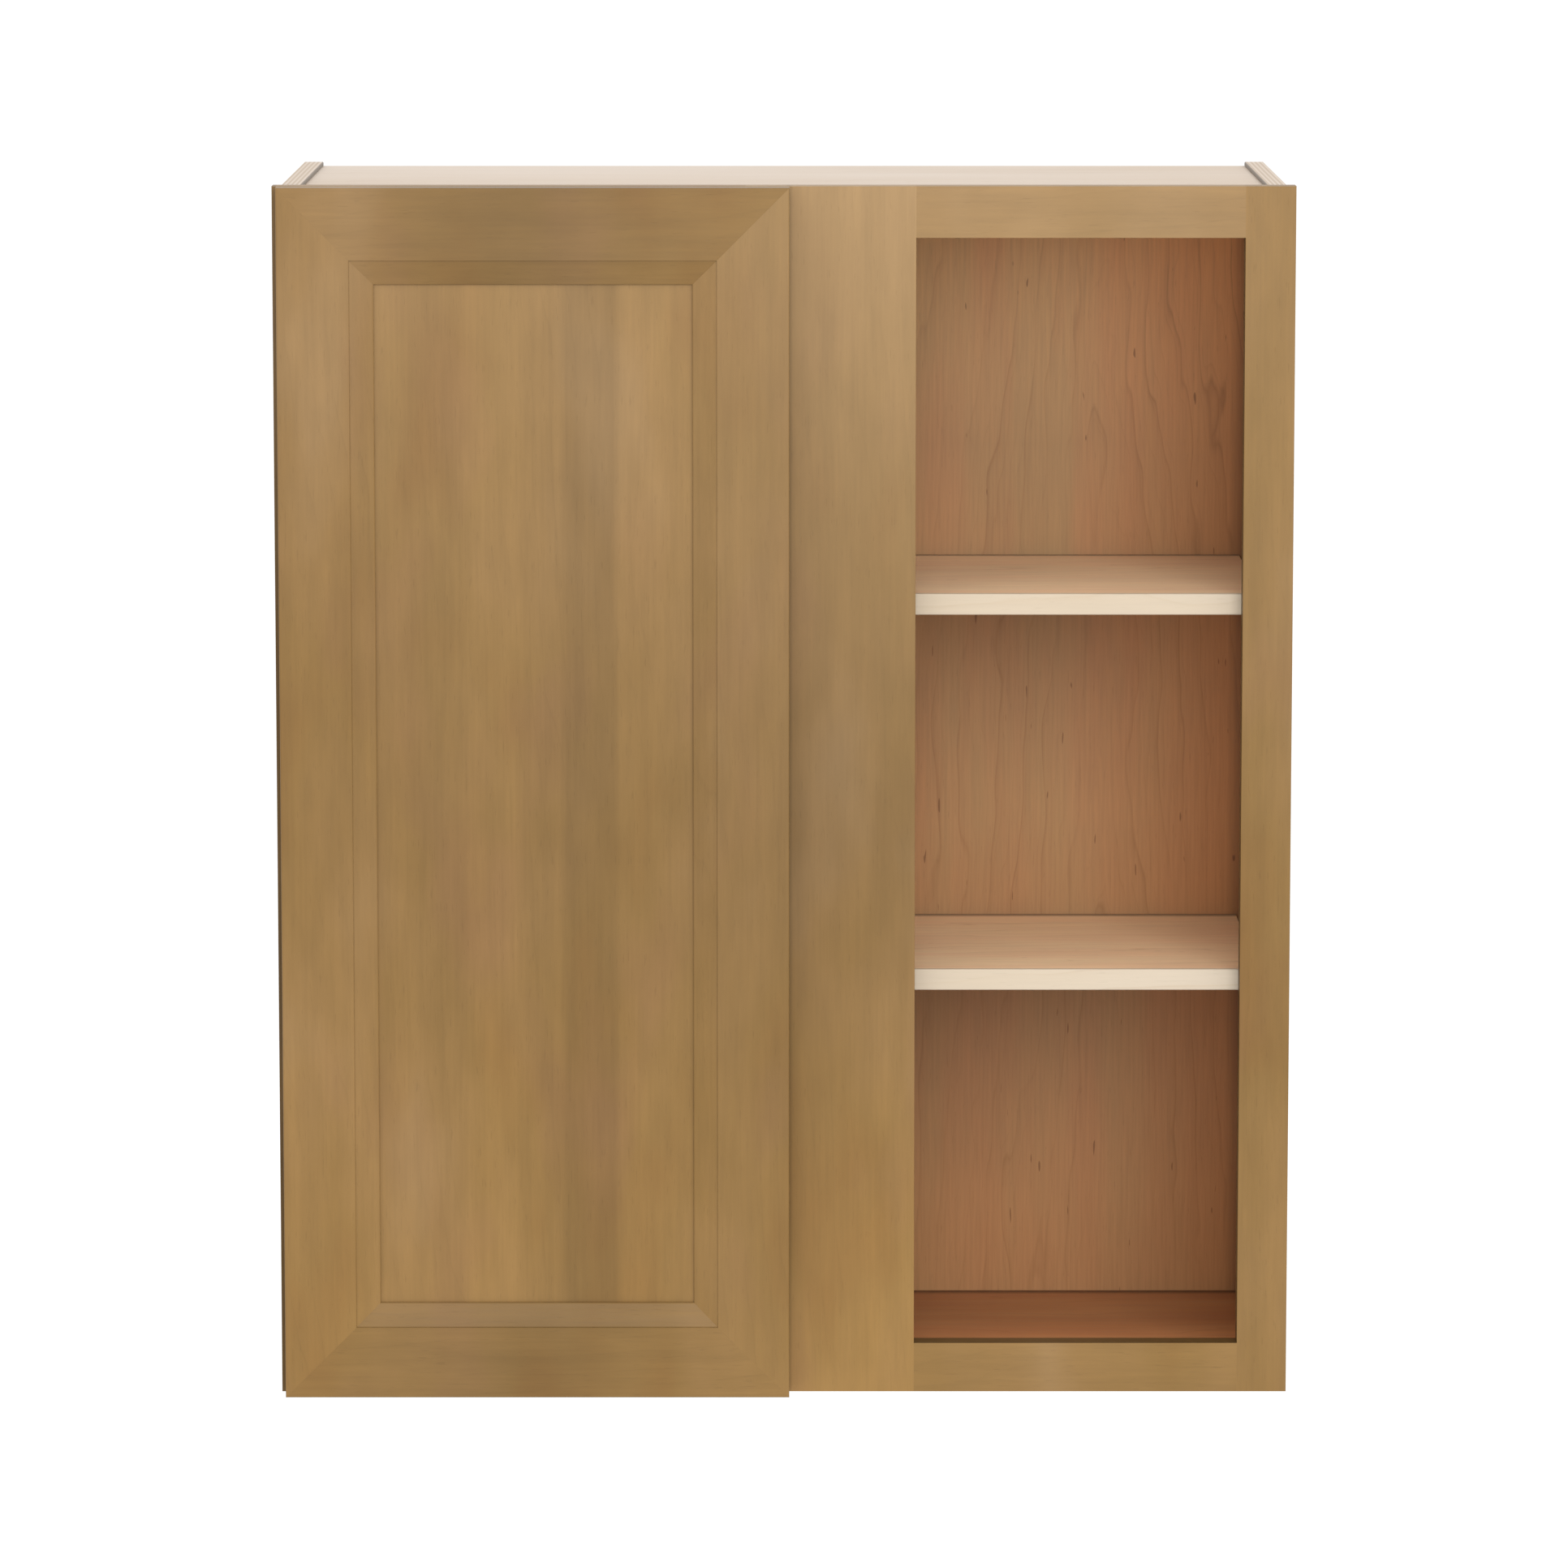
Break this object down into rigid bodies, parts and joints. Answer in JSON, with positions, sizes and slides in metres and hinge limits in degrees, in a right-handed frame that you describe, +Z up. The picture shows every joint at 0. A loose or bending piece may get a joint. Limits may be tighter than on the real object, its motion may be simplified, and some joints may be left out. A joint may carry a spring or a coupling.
{
  "type": "hanging wall cabinet",
  "caption": "Blind-corner wall cabinet: stained face frame on a plywood box, a mitred recessed-panel door on concealed hinges, and adjustable shelves in an open bay.",
  "frame": {"origin": "on the wall, at the middle of the upper hanging rail's rear face", "axes": "+X to the cabinet's right seen from the room, +Y into the wall, +Z up"},
  "size_m": [0.762, 0.3268, 0.9144],
  "materials": {
    "stained_maple": "satin lacquer over a light brown stain, faint vertical grain and blotches",
    "maple_ply": "clear satin maple veneer plywood",
    "pale_edge": "unstained pale maple strip",
    "nickel": "nickel-plated steel",
    "zinc_screw": "zinc-plated steel",
    "clear_rubber": "translucent soft bumper"
  },
  "bodies": {
    "cabinet": {"left_stile": "stained_maple", "mid_stile": "stained_maple", "right_stile": "stained_maple", "door_bay_top_rail": "stained_maple", "door_bay_bottom_rail": "stained_maple", "blind_bay_top_rail": "stained_maple", "blind_bay_bottom_rail": "stained_maple", "left_side": "maple_ply", "right_side": "maple_ply", "top_panel": "maple_ply", "bottom_panel": "maple_ply", "back_panel": "maple_ply", "upper_hanging_rail": "maple_ply", "lower_hanging_rail": "maple_ply", "lower_pin_left_front": "nickel", "lower_pin_left_back": "nickel", "lower_pin_right_front": "nickel", "lower_pin_right_back": "nickel", "upper_pin_left_front": "nickel", "upper_pin_left_back": "nickel", "upper_pin_right_front": "nickel", "upper_pin_right_back": "nickel", "hinge_arm_upper": "nickel", "hinge_arm_lower": "nickel", "arm_screw_upper_top": "zinc_screw", "arm_screw_upper_bottom": "zinc_screw", "arm_screw_lower_top": "zinc_screw", "arm_screw_lower_bottom": "zinc_screw"},
    "door": {"door_left_stile": "stained_maple", "door_right_stile": "stained_maple", "door_top_rail": "stained_maple", "door_bottom_rail": "stained_maple", "door_panel": "stained_maple", "hinge_cup_upper": "nickel", "hinge_cup_lower": "nickel", "hinge_pin_upper": "nickel", "hinge_pin_lower": "nickel", "cup_screw_upper_top": "zinc_screw", "cup_screw_upper_bottom": "zinc_screw", "cup_screw_lower_top": "zinc_screw", "cup_screw_lower_bottom": "zinc_screw", "door_bumper_upper": "clear_rubber", "door_bumper_lower": "clear_rubber"},
    "shelf_upper": {"shelf_upper": "maple_ply", "shelf_upper_nosing": "pale_edge"},
    "shelf_lower": {"shelf_lower": "maple_ply", "shelf_lower_nosing": "pale_edge"}
  },
  "joints": [
    {"name": "door_swing", "type": "hinge", "parent": "cabinet", "child": "door", "pos_m": [-0.37, -0.3163, -0.4067], "axis": [0, 0, -1], "range_deg": [0, 105]},
    {"name": "shelf_upper_lift", "type": "slide", "parent": "cabinet", "child": "shelf_upper", "axis": [0, 0, 1], "range_m": [0, 0.025]},
    {"name": "shelf_lower_lift", "type": "slide", "parent": "cabinet", "child": "shelf_lower", "axis": [0, 0, 1], "range_m": [0, 0.025]}
  ]
}
